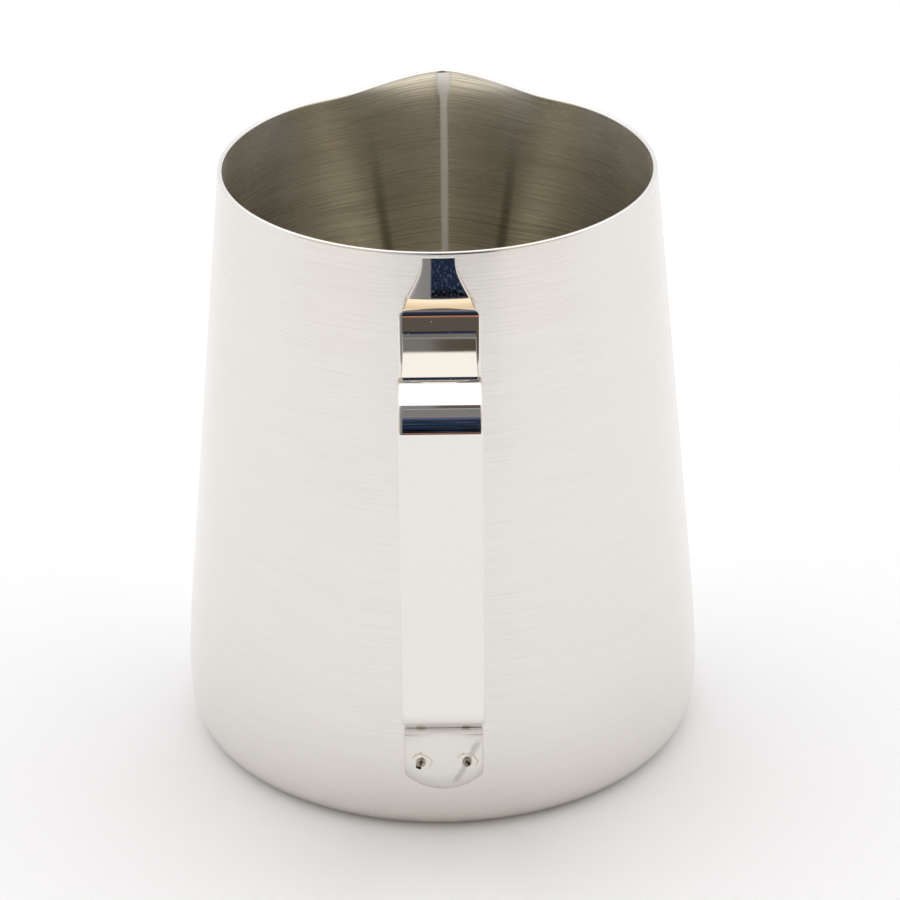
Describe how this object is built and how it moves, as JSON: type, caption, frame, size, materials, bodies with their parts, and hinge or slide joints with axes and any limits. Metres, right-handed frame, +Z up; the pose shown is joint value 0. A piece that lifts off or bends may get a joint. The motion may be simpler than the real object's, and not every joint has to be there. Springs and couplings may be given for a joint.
{
  "type": "milk frothing pitcher",
  "caption": "Steel milk frothing jug with a tapered wall, rounded base corner, drawn pouring spout, thin rolled lip and a bent strip handle welded on above and below.",
  "frame": {"origin": "where the jug's upright axis meets the surface that the jug stands on, in the middle of the flat base", "axes": "+Z up along the jug's axis, +Y towards the spout's tip, -Y towards the handle, +X to the right when seen from the handle's side"},
  "size_m": [0.0956, 0.1184, 0.11],
  "materials": {
    "jug_steel": "finely polished outside, brushed round the inside",
    "strip_steel": "mirror polished strip",
    "weld_metal": "ground weld with heat tint"
  },
  "bodies": {
    "root": {"body_shell": "jug_steel", "handle_strap": "strip_steel", "upper_weld": "weld_metal", "lower_weld_left": "weld_metal", "lower_weld_right": "weld_metal"}
  },
  "joints": []
}
